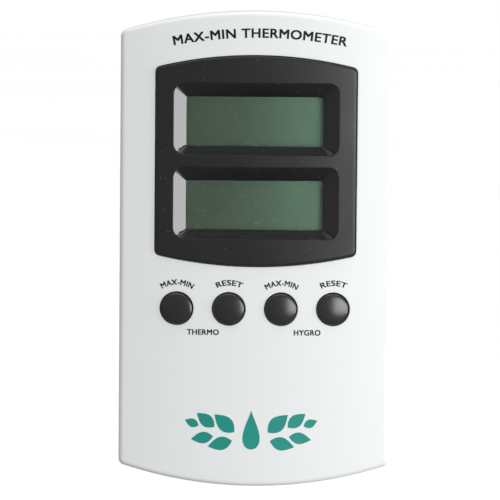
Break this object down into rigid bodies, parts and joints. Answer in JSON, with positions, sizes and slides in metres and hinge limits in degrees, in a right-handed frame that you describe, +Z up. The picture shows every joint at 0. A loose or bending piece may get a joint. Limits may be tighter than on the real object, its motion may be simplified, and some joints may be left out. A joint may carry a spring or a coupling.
{
  "type": "digital maximum and minimum thermometer with hygrometer",
  "caption": "Wall or bench digital thermometer and hygrometer: arched flat case, dark bezel with stacked display windows, a row of round push buttons, fold-out stand and sliding battery door.",
  "frame": {"origin": "on the flat back face, on the centre line, 33 mm above the middle of the case's height, between the hanging keyhole and the fold-out stand", "axes": "+X to the right seen from the front, +Y out of the back towards the wall, +Z up; the display faces -Y"},
  "size_m": [0.0628, 0.0211, 0.11],
  "materials": {
    "white_case": "glossy moulded white ABS",
    "dark_bezel": "glossy moulded charcoal ABS",
    "button_grey": "polished charcoal plastic",
    "lens_clear": "clear acrylic window",
    "lcd_glass": "grey-green reflective liquid crystal panel behind a satin polariser",
    "zebra_rubber": "layered conductive rubber",
    "holder_plastic": "unpainted moulded plastic",
    "board_green": "green solder mask on glass epoxy",
    "chip_epoxy": "black potting epoxy",
    "switch_plastic": "black switch plastic",
    "tin_steel": "tinned steel",
    "nickel_steel": "nickel plated spring steel",
    "cell_jacket": "printed film on a steel can",
    "red_wire": "red insulation",
    "black_wire": "black insulation",
    "sensor_white": "white sensor substrate",
    "thermistor_black": "epoxy bead",
    "screw_zinc": "zinc plated steel",
    "label_ink": "thin dark pad-printed ink",
    "emblem_teal": "thin teal pad-printed ink"
  },
  "bodies": {
    "case": {"front_cover": "white_case", "rear_cover": "white_case", "display_bezel": "dark_bezel", "upper_lens": "lens_clear", "lower_lens": "lens_clear", "upper_lcd": "lcd_glass", "lower_lcd": "lcd_glass", "upper_contact_strip": "zebra_rubber", "lower_contact_strip": "zebra_rubber", "display_holder": "holder_plastic", "main_board": "board_green", "thermo_chip": "chip_epoxy", "hygro_chip": "chip_epoxy", "thermo_crystal": "tin_steel", "hygro_crystal": "tin_steel", "humidity_sensor": "sensor_white", "thermistor": "thermistor_black", "unit_switch_body": "tin_steel", "battery_cell": "cell_jacket", "positive_contact": "nickel_steel", "negative_contact": "nickel_steel", "red_battery_wire": "red_wire", "black_battery_wire": "black_wire", "thermo_max_min_switch": "switch_plastic", "thermo_reset_switch": "switch_plastic", "hygro_max_min_switch": "switch_plastic", "hygro_reset_switch": "switch_plastic", "case_screw_upper_left": "screw_zinc", "board_screw_upper_left": "screw_zinc", "case_screw_upper_right": "screw_zinc", "board_screw_upper_right": "screw_zinc", "case_screw_lower_left": "screw_zinc", "board_screw_lower_left": "screw_zinc", "case_screw_lower_right": "screw_zinc", "board_screw_lower_right": "screw_zinc"},
    "thermo_max_min_key": {"thermo_max_min_button": "button_grey", "thermo_max_min_plunger": "switch_plastic"},
    "thermo_reset_key": {"thermo_reset_button": "button_grey", "thermo_reset_plunger": "switch_plastic"},
    "hygro_max_min_key": {"hygro_max_min_button": "button_grey", "hygro_max_min_plunger": "switch_plastic"},
    "hygro_reset_key": {"hygro_reset_button": "button_grey", "hygro_reset_plunger": "switch_plastic"},
    "battery_hatch": {"battery_door": "white_case"},
    "stand_leg": {"stand": "white_case"},
    "unit_knob": {"unit_switch_knob": "switch_plastic"}
  },
  "joints": [
    {"name": "thermo_max_min_press", "type": "slide", "parent": "case", "child": "thermo_max_min_key", "axis": [0, 1, 0], "range_m": [0, 0.0008], "stiffness_N_per_m": 500},
    {"name": "thermo_reset_press", "type": "slide", "parent": "case", "child": "thermo_reset_key", "axis": [0, 1, 0], "range_m": [0, 0.0008], "stiffness_N_per_m": 500},
    {"name": "hygro_max_min_press", "type": "slide", "parent": "case", "child": "hygro_max_min_key", "axis": [0, 1, 0], "range_m": [0, 0.0008], "stiffness_N_per_m": 500},
    {"name": "hygro_reset_press", "type": "slide", "parent": "case", "child": "hygro_reset_key", "axis": [0, 1, 0], "range_m": [0, 0.0008], "stiffness_N_per_m": 500},
    {"name": "battery_door_slide", "type": "slide", "parent": "case", "child": "battery_hatch", "axis": [0, 0, -1], "range_m": [0, 0.024]},
    {"name": "stand_fold", "type": "hinge", "parent": "case", "child": "stand_leg", "pos_m": [0, -0.0022, -0.058], "axis": [-1, 0, 0], "range_deg": [0, 105]},
    {"name": "unit_switch_slide", "type": "slide", "parent": "case", "child": "unit_knob", "axis": [0, 0, 1], "range_m": [0, 0.0022]}
  ]
}
